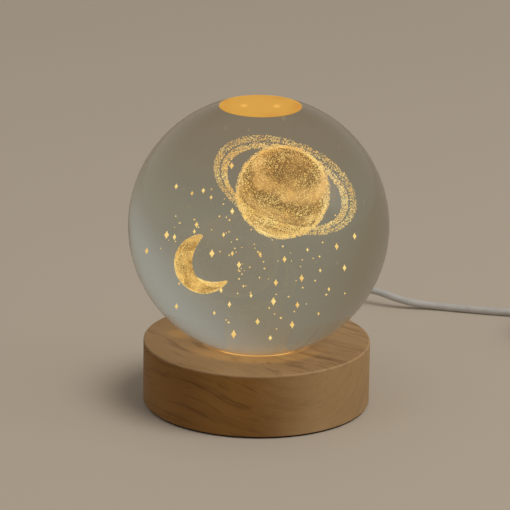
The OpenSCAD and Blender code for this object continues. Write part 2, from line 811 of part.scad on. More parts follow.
module plug_shell() {
    inner_w = shell_w - 2 * shell_wall;
    inner_h = shell_h - 2 * shell_wall;
    color([0.75, 0.76, 0.78]) place_plug() difference() {
        shell_block(shell_w, shell_h, shell_back, shell_front);
        shell_block(inner_w, inner_h, shell_back - 1, shell_front + 1);
        for (s = [-1, 1]) translate([s * shell_hole_x, shell_front - shell_hole_y, 0])
            cube([shell_hole[0], shell_hole[1], 2 * shell_h], center = true);
    }
}

module plug_tongue() {
    inner_w = shell_w - 2 * shell_wall;
    inner_h = shell_h - 2 * shell_wall;
    color([0.12, 0.12, 0.13]) place_plug() {
        translate([-inner_w / 2 + fit_gap, shell_back, -inner_h / 2])
            cube([inner_w - 2 * fit_gap, shell_front - shell_back - 0.5, tongue_t]);
        translate([-inner_w / 2 + fit_gap, shell_back, -inner_h / 2])
            cube([inner_w - 2 * fit_gap, shell_in, inner_h - fit_gap]);
    }
}

module plug_contacts() {
    inner_h = shell_h - 2 * shell_wall;
    color([0.88, 0.7, 0.3]) place_plug() for (x = contact_xs)
        translate([x - pin_w / 2, grip_end, -inner_h / 2 + tongue_t]) cube([pin_w, pin_l, pin_t]);
}

crystal_ball();
engraved_planet();
engraved_crescent();
engraved_stars();
wood_base();
light_window();
led_board();
led_chips();
resistors();
board_screws();
solder_joints();
red_wire();
black_wire();
cord_inner();
cord_stop();
cord_gland();
base_cover();
cover_screws();
foot_pad();
cord_lead();
cord_coil();
cord_tie();
cord_run();
switch_lower_shell();
switch_upper_shell();
switch_rocker();
switch_contacts();
switch_leads();
switch_screws();
cord_tail();
plug_grip();
plug_shell();
plug_tongue();
plug_contacts();
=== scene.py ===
import json
import math
import random

import bmesh
import bpy
from mathutils import Matrix, Vector, noise


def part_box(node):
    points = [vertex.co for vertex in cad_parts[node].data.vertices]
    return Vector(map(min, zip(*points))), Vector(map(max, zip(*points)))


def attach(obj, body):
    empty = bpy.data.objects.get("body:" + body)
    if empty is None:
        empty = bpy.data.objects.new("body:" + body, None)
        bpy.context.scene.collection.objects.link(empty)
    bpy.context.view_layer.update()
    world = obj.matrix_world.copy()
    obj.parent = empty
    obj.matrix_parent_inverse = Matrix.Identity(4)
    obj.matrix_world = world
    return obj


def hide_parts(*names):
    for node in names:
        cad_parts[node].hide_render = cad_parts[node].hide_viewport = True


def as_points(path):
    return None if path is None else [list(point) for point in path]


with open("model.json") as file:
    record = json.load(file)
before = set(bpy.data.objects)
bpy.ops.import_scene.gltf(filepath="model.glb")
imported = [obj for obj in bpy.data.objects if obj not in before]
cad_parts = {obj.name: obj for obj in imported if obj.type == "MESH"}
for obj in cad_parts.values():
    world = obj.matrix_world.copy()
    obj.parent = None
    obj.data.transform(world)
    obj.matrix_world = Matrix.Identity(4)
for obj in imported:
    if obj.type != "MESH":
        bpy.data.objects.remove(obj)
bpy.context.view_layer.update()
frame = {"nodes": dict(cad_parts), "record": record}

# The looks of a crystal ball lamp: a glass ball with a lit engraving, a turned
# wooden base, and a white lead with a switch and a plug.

MM = 0.001
Z = Vector((0, 0, 1))
NODES = frame["nodes"]
SLOT_OF = {part["node"]: part["material_slot"] for part in frame["record"]["subparts"]}
BODY_OF = {
    node: body
    for body, members in frame["record"]["behaviour"]["bodies"].items()
    for node in members
}

# Sizes from the frame
ball_low, ball_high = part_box("crystal_ball")
wood_low, wood_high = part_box("wood_base")
window_low, window_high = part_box("light_window")
board_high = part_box("led_board")[1]
cover_low, cover_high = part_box("base_cover")
BALL_R = ball_high.x
BALL_MIDDLE = Vector((0, 0, (ball_low.z + ball_high.z) / 2))
FLAT_H = (ball_high.z - ball_low.z) / 2
FLAT_R = math.sqrt(BALL_R**2 - FLAT_H**2)
BASE_R = wood_high.x
BASE_TOP = wood_high.z

# Points closer than this count as one
NEAR = 0.01 * MM

# Sizes that the frame's boxes don't give, as in the part's source
SEAT_GAP = 0.3 * MM
WINDOW_GAP = 0.2 * MM
LEDGE_W = 2 * MM
POCKET_GAP = 3 * MM
COVER_GAP = 0.2 * MM
COVER_T = 2 * MM
GLAND_HOLE_R = 2.3 * MM
GLAND_Z = 6.35 * MM
WOOD_EDGE_R = 0.5 * MM
DISH_STEPS = 3
FLAT_CHAMFER = 0.12 * MM
DISH_R = BALL_R + SEAT_GAP
DISH_TOP_R = math.sqrt(DISH_R**2 - (BALL_MIDDLE.z - BASE_TOP) ** 2)
WELL_R = window_high.x + WINDOW_GAP
POCKET_R = board_high.x + POCKET_GAP
COVER_R = cover_high.x + COVER_GAP

# The camera, fitted to the photograph
CAMERA_ELEVATION = math.radians(17.77)
CAMERA_DISTANCE = 1.2116
CAMERA_LENS = 279.4
CAMERA_NEAREST = 0.01
CAMERA_FARTHEST = 100
CAMERA_ROLL = math.radians(0.9)
BALL_OVER_AIM = 9.03 * MM
BALL_RIGHT_OF_AIM = 1.12 * MM

# The engraving, from the middle of the ball
GLOBE_AT = Vector((5, 0, 7.5)) * MM
GLOBE_R = 10 * MM
GLOBE_BODY_SHARE = 0.92
GLOBE_BANDS = 11.0
GLOBE_UNEVEN = 0.12 * MM
RING_LEAN = math.radians(12)
RING_ROLL = math.radians(20)
RING_R = 16 * MM
RING_W = 3.4 * MM
RING_T = 0.5 * MM
CRESCENT_AT = Vector((-11, -1, -8)) * MM
CRESCENT_R = 6 * MM
CRESCENT_BITE = Vector((0.36, 0, 0.21))
CRESCENT_BITE_SHARE = 0.9
STAR_PLACES = 60
GOLDEN_ANGLE = math.radians(137.508)
STAR_FIELD_R = 21 * MM
STAR_DEPTH = 8 * MM
STAR_DROP = 3 * MM
STAR_MARGIN = 1.4 * MM
STAR_R = 0.8 * MM
STAR_WAIST = 0.6
STAR_HOLLOW = 0.85
RING_NORMAL = Vector((
    math.sin(RING_ROLL) * math.cos(RING_LEAN),
    -math.sin(RING_LEAN),
    math.cos(RING_ROLL) * math.cos(RING_LEAN),
))

# The engraving's dots: how many, and the least and largest radius in millimetres
GLOBE_DOTS = 26000
GLOBE_DOT_R = (0.06, 0.125)
RING_DOTS = 9000
RING_DOT_R = (0.06, 0.11)
CRESCENT_DOTS = 5200
CRESCENT_DOT_R = (0.06, 0.11)
SPECKS = 150
SPECK_R = (0.12, 0.24)
# The share of the ring's dots that is kept, up to each share of its width
RING_BANDS = ((0.45, 0.9), (0.56, 0.0), (1.0, 0.7))

# The cord, and its route in millimetres, as in the part's source
CORD_D = 2.4 * MM
CORD_SIDES = 16
RIB_PITCH = 1.6 * CORD_D
CURVE_STEPS = 6
LEAD_ROUTE = [
    (0, 45, 6.35), (0, 51, 6.3), (0.4, 57, 6.3), (1.5, 63, 6.3), (3.4, 68.8, 6.2), (6, 74.4, 6.1),
    (9.3, 79.8, 6), (13.5, 85.3, 5.8), (18.5, 90.7, 5.6), (23.5, 94.8, 5.4), (29, 97.1, 5.2),
    (34.9, 97.2, 4.9), (40.3, 95.2, 4.5), (45.6, 92.7, 3.4), (51, 91.6, 2.2), (56.5, 91.3, 1.5),
    (62, 90.3, 1.2), (68, 88.8, 1.2), (74, 87.4, 1.2), (80, 86.2, 1.2), (86, 84.9, 1.4),
    (92, 82.4, 1.6), (98, 79.8, 1.8), (103, 79, 1.9), (107.6, 79, 1.9),
]
COIL_AT = Vector((110, 61, 1.9))
COIL_R = 18
COIL_TURNS = 11.25
COIL_LAYERS = 4
COIL_STEP = 3.3
CLIMB_TURNS = 0.5
LAYER_TURNS = (COIL_TURNS - (COIL_LAYERS - 1) * CLIMB_TURNS) / COIL_LAYERS
COIL_STEPS_PER_TURN = 60
RUN_ROUTE = [
    (128, 58.6, 11.8), (128, 53, 11.4), (128, 47, 9.9), (128, 41, 7.6), (128, 35, 5),
    (128, 29, 2.8), (128, 23, 1.6), (128, 17, 1.9), (128, 11, 3.6), (128, 3, 5.5),
]
TAIL_ROUTE = [
    (128, -43, 5.5), (128, -49, 4.7), (127.5, -54.5, 3), (125, -59.5, 1.7), (120.5, -63, 1.2),
    (115.5, -64, 1.2), (110.5, -63, 1.3), (106, -59.5, 1.8), (103.5, -54.5, 2.8), (103, -49, 3.6),
    (103, -43, 3.9),
]


def colour(red, green, blue):
    """A colour as the shaders take it, from the 0 to 255 values of a screen."""
    return tuple(
        (c / 255 / 12.92) if c / 255 <= 0.04045 else ((c / 255 + 0.055) / 1.055) ** 2.4
        for c in (red, green, blue)
    ) + (1.0,)


# Shaders


class Value:
    """A shader socket that takes part in Python expressions."""

    def __init__(self, shader, socket):
        self.shader = shader
        self.socket = socket

    def __add__(self, other):
        return self.shader.maths("ADD", self, other)

    def __sub__(self, other):
        return self.shader.maths("SUBTRACT", self, other)

    def __rsub__(self, other):
        return self.shader.maths("SUBTRACT", other, self)

    def __mul__(self, other):
        return self.shader.maths("MULTIPLY", self, other)

    def __truediv__(self, other):
        return self.shader.maths("DIVIDE", self, other)

    __radd__ = __add__


class Shader:
    """Writes one node tree. Vectors are in the piece's own coordinates."""

    def __init__(self, tree):
        self.tree = tree
        tree.nodes.clear()

    def add(self, kind, settings=None, sockets=None, out=0):
        """Any node: its settings first, then what its sockets take, as values or links."""
        node = self.tree.nodes.new("ShaderNode" + kind)
        for name, value in (settings or {}).items():
            setattr(node, name, value)
        for name, value in (sockets or {}).items():
            if isinstance(value, Value):
                self.tree.links.new(value.socket, node.inputs[name])
            else:
                node.inputs[name].default_value = value
        return Value(self, node.outputs[out]) if node.outputs else None

    def maths(self, operation, *values):
        return self.add("Math", {"operation": operation}, dict(enumerate(values)))

    def vector(self, operation, *values, out=0):
        return self.add("VectorMath", {"operation": operation}, dict(enumerate(values)), out)

    def place(self):
        """The point on the piece, in metres."""
        return self.add("TexCoord", out="Object")

    def scaled_place(self, scale):
        """The point on the piece, scaled along each axis for a pattern."""
        return self.add(
            "Mapping", {"vector_type": "POINT"}, {"Vector": self.place(), "Scale": scale}
        )

    def turned(self, vector, axis, angle):
        """A vector turned round one axis."""
        return self.add(
            "VectorRotate", {"rotation_type": axis + "_AXIS"}, {"Vector": vector, "Angle": angle}
        )

    def parts(self, vector):
        """The three numbers of a vector."""
        split = self.add("SeparateXYZ", None, {"Vector": vector})
        return [Value(self, s) for s in split.socket.node.outputs]

    def joined(self, x, y, z):
        return self.add("CombineXYZ", None, {"X": x, "Y": y, "Z": z})

    def reach(self, x, y):
        """How far a point lies from where x and y are both 0."""
        return self.maths("SQRT", x * x + y * y)

    def noise(self, vector, scale, detail=4.0, roughness=0.5):
        return self.add(
            "TexNoise",
            None,
            {"Vector": vector, "Scale": scale, "Detail": detail, "Roughness": roughness},
        )

    def step(self, value, low, high):
        """0 below low, 1 above high, and smooth between. It falls where high is below low."""
        return self.add(
            "MapRange",
            {"interpolation_type": "SMOOTHSTEP", "clamp": True},
            {"Value": value, "From Min": low, "From Max": high, "To Min": 0.0, "To Max": 1.0},
        )

    def mix(self, share, first, second, blend="MIX"):
        """A colour between two."""
        return self.add(
            "Mix",
            {"data_type": "RGBA", "blend_type": blend},
            {"Factor": share, 6: first, 7: second},
            2,
        )

    def bump(self, height, strength, distance):
        return self.add(
            "Bump", None, {"Height": height, "Strength": strength, "Distance": distance}
        )

    def finish(self, surface):
        self.add("OutputMaterial", None, {"Surface": surface})


def new_material(name):
    material = bpy.data.materials.new(name)
    material.use_nodes = True
    return material, Shader(material.node_tree)


def principled(shader, **sockets):
    """The main shader, its sockets named in words joined by underscores."""
    names = {name.replace("_", " "): value for name, value in sockets.items()}
    return shader.add("BsdfPrincipled", None, names)


def dimmed(shade, share):
    """A colour with a share of its light."""
    return tuple(c * share for c in shade[:3]) + (1.0,)


# Plain finishes


def moulded(name, shade, roughness, grain, **more):
    """Moulded plastic or rubber: a fine even grain, with slightly uneven colour and gloss."""
    material, shader = new_material(name)
    place = shader.place()
    cloud = shader.noise(place, 60.0, 3.0)
    fine = shader.noise(place, 2500.0, 2.0, 0.6)
    shader.finish(principled(
        shader,
        Base_Color=shader.mix(shader.step(cloud, 0.35, 0.7), shade, dimmed(shade, 0.88)),
        Roughness=roughness + (cloud - 0.5) * 0.15 + (fine - 0.5) * 0.1,
        Normal=shader.bump(fine, grain, 0.05 * MM),
        **more,
    ))
    return material


def metal(name, shade, roughness, drawn=(1, 1, 1)):
    """Metal with fine drawing lines and a little dulling."""
    material, shader = new_material(name)
    lines = shader.noise(shader.scaled_place(drawn), 900.0, 3.0, 0.6)
    cloud = shader.noise(shader.place(), 120.0, 3.0)
    shader.finish(principled(
        shader,
        Base_Color=shader.mix(shader.step(cloud, 0.4, 0.75), shade, dimmed(shade, 0.8)),
        Metallic=1.0,
        Roughness=roughness + (lines - 0.5) * 0.2,
        Normal=shader.bump(lines, 0.15, 0.02 * MM),
    ))
    return material


def board_material():
    """White circuit board with faint tracks under its lacquer."""
    track_spacing = 3 * MM
    material, shader = new_material("circuit_board")
    x, y, _ = shader.parts(shader.place())
    waves = shader.maths("SINE", shader.reach(x, y) * (2 * math.pi / track_spacing))
    tracks = shader.step(waves, 0.55, 0.75)
    weave = shader.noise(shader.place(), 800.0, 2.0)
    shader.finish(principled(
        shader,
        Base_Color=shader.mix(tracks * 0.6, colour(228, 228, 222), colour(200, 206, 196)),
        Roughness=0.3 + weave * 0.1,
        Normal=shader.bump(tracks, 0.2, 0.05 * MM),
    ))
    return material


def cord_material():
    """White jacket over twisted cores: fine slanting ribs that follow the cord."""
    ribs_round = 6.0
    pale = colour(187, 186, 185)
    scuffed = colour(169, 168, 166)
    material, shader = new_material("cord_jacket")
    u, v, _ = shader.parts(shader.add("TexCoord", out="UV"))
    ribs = shader.maths("SINE", (u * ribs_round + v) * (2 * math.pi))
    scuff = shader.noise(shader.place(), 260.0, 4.0, 0.6)
    shader.finish(principled(
        shader,
        Base_Color=shader.mix(shader.step(scuff, 0.35, 0.75) * 0.6, pale, scuffed),
        Roughness=0.4 + scuff * 0.15,
        Normal=shader.bump(ribs, 0.12, 0.06 * MM),
    ))
    return material


def strap_material():
    """Woven hook-and-loop strap."""
    weft_spacing = 0.5 * MM
    warp_spacing = 0.6 * MM
    material, shader = new_material("woven_strap")
    x, y, height = shader.parts(shader.place())
    weft = shader.maths("SINE", x * (2 * math.pi / weft_spacing))
    warp = shader.maths("SINE", (y + height) * (2 * math.pi / warp_spacing))
    weave = weft * warp * 0.5 + 0.5
    fluff = shader.noise(shader.place(), 1800.0, 3.0, 0.7)
    shader.finish(principled(
        shader,
        Base_Color=shader.mix(weave * 0.7, colour(30, 30, 32), colour(58, 58, 61)),
        Roughness=0.9,
        Normal=shader.bump(weave + fluff, 0.5, 0.12 * MM),
    ))
    return material


# The glass, its lit flat and the engraving

LAMP_IMAGES_X = (-5.0 * MM, 4.9 * MM)
LAMP_IMAGE_SIZE = (1.5 * MM, 2.5 * MM)
# How much the engraving shines, since the cast of the glass dims it
THROUGH_GLASS = 1.3


def crystal_material():
    """Clear glass with a grey-green cast, browner under the top flat and just over the foot,
    where the lamps' light gathers."""
    material, shader = new_material("polished_crystal")
    height = shader.parts(shader.place())[2]
    top = shader.step(height, BALL_MIDDLE.z + 12 * MM, BALL_MIDDLE.z + 34 * MM)
    foot = shader.step(height, ball_low.z + 7 * MM, ball_low.z)
    tint = shader.mix(top, (0.66, 0.66, 0.55, 1), (0.64, 0.53, 0.40, 1))
    tint = shader.mix(foot, tint, (0.74, 0.62, 0.44, 1))
    shader.finish(principled(
        shader, Base_Color=tint, Roughness=0.0, IOR=1.516, Transmission_Weight=1.0,
    ))
    return material


def lit_flat_material():
    """The top flat, which shows the light below as an even orange with two lamp images."""
    material, shader = new_material("lit_flat")
    x, y, _ = shader.parts(shader.place())
    far = shader.reach(x, y) / FLAT_R
    cloud = shader.noise(shader.place(), 130.0, 2.0)
    edge = shader.step(far, 0.55, 1.0) * shader.step(cloud, 0.3, 0.7)
    glow = shader.mix(edge, colour(204, 148, 38), colour(196, 132, 20))
    for image_x in LAMP_IMAGES_X:
        off = shader.reach((x - image_x) / LAMP_IMAGE_SIZE[0], y / LAMP_IMAGE_SIZE[1])
        glow = shader.mix(shader.step(off, 1.0, 0.75), glow, colour(220, 158, 44))
        glow = shader.mix(shader.step(off, 0.6, 0.2) * 0.5, glow, colour(240, 196, 104))
    shader.finish(principled(
        shader,
        Base_Color=(0.03, 0.02, 0.01, 1),
        Roughness=0.08,
        Specular_IOR_Level=0.3,
        Emission_Color=glow,
        Emission_Strength=1.0,
    ))
    return material


def fine_cracks(shader, shade):
    """Fine cracks in the glass, which show by the lamps' light that they scatter."""
    return principled(
        shader,
        Base_Color=(0.05, 0.04, 0.02, 1),
        Roughness=0.9,
        Specular_IOR_Level=0.0,
        Emission_Color=shade,
        Emission_Strength=THROUGH_GLASS,
    )


def engraving_material(name, bright, dim, patch):
    """Engraved lines and dots, brighter in patches of a given fineness."""
    material, shader = new_material(name)
    place = shader.place()
    cloud = shader.noise(place, patch, 4.0, 0.6)
    grain = shader.noise(place, 5200.0, 2.0, 0.7)
    share = shader.step(cloud * 0.7 + grain * 0.3, 0.38, 0.66)
    shader.finish(fine_cracks(shader, shader.mix(share, dim, bright)))
    return material


def globe_material():
    """The body of the globe: cloudy bands across its axis, darker in patches."""
    dim = colour(126, 97, 58)
    bright = colour(212, 168, 104)
    material, shader = new_material("engraved_globe_body")
    spot = shader.vector("SUBTRACT", shader.place(), tuple(BALL_MIDDLE + GLOBE_AT))
    level = shader.vector("DOT_PRODUCT", spot, tuple(RING_NORMAL), out="Value") / GLOBE_R
    wave = shader.noise(spot, 260.0, 4.0, 0.6)
    bands = shader.maths("SINE", level * GLOBE_BANDS + wave * 5.0) * 0.5 + 0.5
    patches = shader.noise(spot, 170.0, 5.0, 0.65)
    grain = shader.noise(spot, 4200.0, 2.0, 0.7)
    share = bands * 0.2 + patches * 0.6 + grain * 0.3
    shader.finish(fine_cracks(shader, shader.mix(shader.step(share, 0.4, 0.8), dim, bright)))
    return material


# The wood: how its grain lies, where its rings have their middle, over the block, and where
# the lamps' light falls on it

GRAIN_TURN = math.radians(-44)
GRAIN_SLOPE = math.radians(6)
PITH_ACROSS = -15 * MM
PITH_UP = 36 * MM
RING_SPACING = 3.4 * MM
RING_WANDER = 7 * MM
TURN_REACH = 5 * MM
FIBRE_STRETCH = 0.04
PORE_STRETCH = 0.09
HALO_R = 25 * MM
HALO_EDGE = 3 * MM
BRIGHT_SPOT_AT = (-23.5 * MM, 3 * MM)


def wood_grain(shader, place):
    """The patterns of the wood by name, all along the grain and bent with the rings."""
    level = shader.turned(place, "Z", -GRAIN_TURN)
    grain = shader.turned(level, "Y", -GRAIN_SLOPE)
    along, across, up = shader.parts(grain)
    bend = shader.noise(grain, 22.0, 3.0)
    off_across = across - PITH_ACROSS
    off_up = PITH_UP - up
    ring = shader.reach(off_across, off_up) + bend * RING_WANDER
    turn = shader.maths("ARCTAN2", off_across, off_up) * TURN_REACH
    rings = shader.maths("SINE", ring * (2 * math.pi / RING_SPACING))
    lengthwise = shader.joined(along * FIBRE_STRETCH, turn, ring)
    dashes = shader.joined(along * PORE_STRETCH, turn, ring)
    ringed = shader.step(shader.noise(place, 40.0, 2.0), 0.4, 0.7)
    pored = shader.step(shader.noise(place, 45.0, 2.0), 0.42, 0.62)
    return {
        "late": shader.step(rings, -0.3, 1.0) * ringed,
        "fibre": shader.noise(lengthwise, 1500.0, 4.0, 0.65),
        "streak": shader.noise(lengthwise, 330.0, 4.0, 0.6),
        "lines": shader.step(shader.noise(lengthwise, 800.0, 2.0), 0.55, 0.66),
        "veins": shader.step(shader.noise(lengthwise, 1300.0, 1.0), 0.58, 0.66),
        "pores": shader.step(shader.noise(dashes, 1900.0, 1.0), 0.66, 0.72) * pored,
    }


def wood_shade(shader, place, grain, side):
    """The colour of the wood: more grain marks at the left of the side, which also stand in for
    shade, fewer marks from the middle of the side rightwards, fine veins on the right of the top,
    painted light and shade from a darker left to a paler right, and a painted highlight along the
    top rim."""
    x, y, height = shader.parts(place)
    right = shader.step(x, 6 * MM, 20 * MM)
    # More grain marks at the left of the side: grain, and also painted shade that darkens that
    # side
    grain_and_shade_left = side * (1 - right)
    calm = side * shader.step(x, -5 * MM, 8 * MM)
    streaked = shader.step(grain["streak"], 0.48, 0.74)
    patch = shader.step(shader.noise(place, 28.0, 3.0), 0.3, 0.7)
    shade = shader.mix(patch, colour(160, 122, 80), colour(144, 106, 66))
    marks = [
        (grain["late"] * (0.10 + grain_and_shade_left * 0.14), colour(118, 84, 48)),
        (streaked * (0.22 + grain_and_shade_left * 0.12 - calm * 0.08), colour(108, 75, 42)),
        (grain["lines"] * (0.40 - calm * 0.32), colour(92, 62, 34)),
        (grain["veins"] * right * (1 - side) * 0.4, colour(90, 62, 36)),
        (shader.step(grain["fibre"], 0.45, 0.8) * 0.3, colour(120, 86, 52)),
        (grain["pores"] * (0.4 - calm * 0.28), colour(72, 46, 24)),
    ]
    for share, mark in marks:
        shade = shader.mix(share, shade, mark)
    # Painted light and shade: the colour is multiplied darker towards the left and paler towards
    # the right, more strongly on the side than on the top, as the key lamp's light falls from the
    # right
    painted_top_light = shader.mix(
        shader.step(x, -30 * MM, 20 * MM), (0.95, 1.08, 1.26, 1), (1.23, 1.45, 1.82, 1)
    )
    painted_side_light = shader.mix(
        shader.step(x, -4 * MM, 22 * MM), (0.76, 0.67, 0.39, 1), (1.30, 1.57, 1.92, 1)
    )
    shade = shader.mix(1.0, shade, shader.mix(side, painted_top_light, painted_side_light), "MULTIPLY")
    # A painted highlight along the top rim, stronger on the right where the lamp's light falls
    painted_rim_highlight = shader.step(shader.reach(x, y), BASE_R - 0.7 * MM, BASE_R - 0.3 * MM)
    painted_rim_highlight = painted_rim_highlight * shader.step(height, BASE_TOP - 0.6 * MM, BASE_TOP - 0.3 * MM)
    return shader.mix(painted_rim_highlight * (0.12 + right * 0.28), shade, colour(186, 158, 120))


def wood_glow(shader, place, side):
    """The lamps' light on the wood: a halo in front of the seat, a bright spot at its left, a
    thin lip beside the glass, and the seat itself."""
    x, y, height = shader.parts(place)
    far = shader.reach(x, y)
    halo = shader.step(far, HALO_R, HALO_R - HALO_EDGE) * shader.step(y, -6 * MM, -18 * MM)
    off_spot = shader.reach(x - BRIGHT_SPOT_AT[0], y - BRIGHT_SPOT_AT[1])
    spot = shader.step(off_spot, 6 * MM, 1.5 * MM)
    lip = shader.step(far, DISH_TOP_R + 1.1 * MM, DISH_TOP_R + 0.2 * MM)
    lip = lip * shader.step(y, 0, -4 * MM)
    lip = lip * shader.step(shader.maths("ABSOLUTE", x), 6 * MM, 12 * MM)
    inside = shader.step(height, BASE_TOP - 14 * MM, BASE_TOP - 6 * MM)
    glow = (halo * 0.55 + spot * 0.4 + lip * 0.9) * inside * (1 - side)
    seat = shader.step(far, DISH_TOP_R + 0.3 * MM, DISH_TOP_R)
    round_seat = shader.mix(glow, (0, 0, 0, 1), (0.19, 0.085, 0.008, 1))
    return shader.mix(seat, round_seat, colour(88, 54, 20))


def wood_material():
    """Pale turned hardwood, lit round the seat."""
    material, shader = new_material("turned_wood")
    place = shader.place()
    height = shader.parts(place)[2]
    side = shader.step(height, BASE_TOP - 0.3 * MM, BASE_TOP - 0.9 * MM)
    grain = wood_grain(shader, place)
    relief = grain["fibre"] * 0.6 - grain["pores"] + grain["streak"] * 0.4
    shader.finish(principled(
        shader,
        Base_Color=wood_shade(shader, place, grain, side),
        Roughness=0.5 + (grain["streak"] - 0.5) * 0.2 + grain["pores"] * 0.2,
        Specular_IOR_Level=0.25,
        Normal=shader.bump(relief, 0.25, 0.06 * MM),
        Emission_Color=wood_glow(shader, place, side),
        Emission_Strength=1.0,
    ))
    return material


# The light window, and the ring of lamps under it

LAMP_COUNT = 6
LAMP_RING_R = 8 * MM


def window_material():
    """Frosted acrylic, lit through by the ring of lamps under it."""
    material, shader = new_material("frosted_window")
    x, y, _ = shader.parts(shader.place())
    far = shader.reach(x, y)
    turn = shader.maths("ARCTAN2", y, x)
    lobes = shader.maths("COSINE", turn * LAMP_COUNT) * 0.5 + 0.5
    band = shader.step(shader.maths("ABSOLUTE", far - LAMP_RING_R), 5 * MM, 0.5 * MM)
    frost = shader.noise(shader.place(), 900.0, 2.0)
    glow = shader.mix(band * lobes, colour(166, 114, 50), colour(186, 152, 92))
    shader.finish(principled(
        shader,
        Base_Color=colour(206, 168, 104),
        Roughness=0.5 + (frost - 0.5) * 0.3,
        Emission_Color=shader.mix(shader.step(far, 10 * MM, 14 * MM), glow, colour(66, 40, 8)),
        Emission_Strength=1.0,
        Normal=shader.bump(frost, 0.2, 0.05 * MM),
    ))
    return material


def chip_material():
    """A lamp chip: pale case with a glowing yellow middle."""
    material, shader = new_material("lit_chip")
    grain = shader.noise(shader.place(), 3000.0, 2.0)
    shader.finish(principled(
        shader,
        Base_Color=colour(240, 220, 150),
        Roughness=0.4,
        Emission_Color=shader.mix(grain, colour(255, 206, 110), colour(255, 236, 180)),
        Emission_Strength=2.5,
    ))
    return material


MATERIALS = {
    "crystal": crystal_material(),
    "wood": wood_material(),
    "window": window_material(),
    "lamp_chip": chip_material(),
    "board": board_material(),
    "cord": cord_material(),
    "tie_strap": strap_material(),
    "engraving": engraving_material(
        "engraved_lines", bright=colour(255, 227, 152), dim=colour(236, 188, 106), patch=220.0
    ),
    "black_plastic": moulded("black_plastic", colour(34, 34, 35), roughness=0.5, grain=0.4),
    "red_plastic": moulded("red_sleeve", colour(176, 34, 28), roughness=0.35, grain=0.1),
    "white_plastic": moulded("white_shell", colour(216, 216, 213), roughness=0.38, grain=0.25),
    "white_gloss": moulded(
        "white_rocker", colour(222, 222, 220), roughness=0.2, grain=0.08, Coat_Weight=0.3
    ),
    "white_rubber": moulded("white_rubber", colour(206, 206, 203), roughness=0.55, grain=0.35),
    "pad_rubber": moulded("foot_foam", colour(22, 20, 19), roughness=0.85, grain=0.8),
    "steel": metal("zinc_plated_steel", (0.62, 0.63, 0.66, 1), roughness=0.3),
    "dark_steel": metal("blackened_steel", (0.06, 0.06, 0.065, 1), roughness=0.4),
    "brass": metal("brass_strip", (0.80, 0.58, 0.25, 1), roughness=0.22),
    "nickel": metal("nickel_plate", (0.66, 0.65, 0.62, 1), roughness=0.24, drawn=(1, 0.1, 1)),
}


# Modelling


def look_at_none():
    """Leaves edit mode and selects nothing."""
    if bpy.context.object and bpy.context.object.mode != "OBJECT":
        bpy.ops.object.mode_set(mode="OBJECT")
    bpy.ops.object.select_all(action="DESELECT")


def only(piece):
    """Makes a piece the one that operators work on."""
    look_at_none()
    piece.select_set(True)
    bpy.context.view_layer.objects.active = piece


def start(name, primitive, **how):
    """A new primitive, with its place in its mesh, ready to be shaped."""
    look_at_none()
    getattr(bpy.ops.mesh, primitive + "_add")(**how)
    piece = bpy.context.object
    piece.name = name
    bpy.ops.object.transform_apply(location=True, rotation=True, scale=True)
    return piece


def edit(piece, mode="FACE"):
    """Opens a piece in edit mode, with nothing selected."""
    only(piece)
    bpy.ops.object.mode_set(mode="EDIT")
    bpy.ops.mesh.select_mode(type=mode)
    bpy.ops.mesh.select_all(action="DESELECT")


def pick_faces(piece, wanted):
    """Selects the faces whose middle and normal are wanted."""
    mesh = bmesh.from_edit_mesh(piece.data)
    for face in mesh.faces:
        face.select_set(wanted(face.calc_center_median(), face.normal))
    mesh.select_flush_mode()
    bmesh.update_edit_mesh(piece.data)


def pick_edges(piece, wanted):
    """Selects the edges whose two ends are wanted."""
    mesh = bmesh.from_edit_mesh(piece.data)
    for edge in mesh.edges:
        edge.select_set(wanted(edge.verts[0].co, edge.verts[1].co))
    mesh.select_flush_mode()
    bmesh.update_edit_mesh(piece.data)


def apply_modifiers(piece):
    only(piece)
    for modifier in list(piece.modifiers):
        bpy.ops.object.modifier_apply(modifier=modifier.name)


def smooth(piece, angle):
    """Shades a piece smooth, but for edges sharper than the angle, in degrees."""
    only(piece)
    bpy.ops.object.shade_smooth_by_angle(angle=math.radians(angle))


def from_mesh(name, points, faces, material):
    """A piece from points and faces worked out in code."""
    mesh = bpy.data.meshes.new(name)
    mesh.from_pydata(points, [], faces)
    mesh.validate()
    piece = bpy.data.objects.new(name, mesh)
    bpy.context.scene.collection.objects.link(piece)
    piece.data.materials.append(material)
    return piece


def settle(piece, node, replaces=True):
    """The piece rides with a CAD node's body and, where it replaces the node, stands for it.
    Clear glass and the fine cracks in it throw no dark shadow."""
    piece.visible_shadow = SLOT_OF[node] not in ("crystal", "engraving")
    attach(piece, BODY_OF[node])
    if replaces:
        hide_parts(node)
    return piece


def refined(node, name, edge, rounds=2, sharp=35):
    """A merged copy of a CAD node, with edges over sharp degrees softened by edge mm."""
    source = NODES[node].data
    piece = from_mesh(
        name,
        [v.co[:] for v in source.vertices],
        [p.vertices[:] for p in source.polygons],
        MATERIALS[SLOT_OF[node]],
    )
    edit(piece, "VERT")
    bpy.ops.mesh.select_all(action="SELECT")
    bpy.ops.mesh.remove_doubles(threshold=0.002 * MM)
    bpy.ops.mesh.dissolve_limited(angle_limit=math.radians(0.5))
    look_at_none()
    bevel = piece.modifiers.new("soft_edges", "BEVEL")
    bevel.width = edge * MM
    bevel.segments = rounds
    bevel.limit_method = "ANGLE"
    bevel.angle_limit = math.radians(sharp)
    bevel.use_clamp_overlap = True
    apply_modifiers(piece)
    smooth(piece, sharp)
    return settle(piece, node)


# The camera and the cords


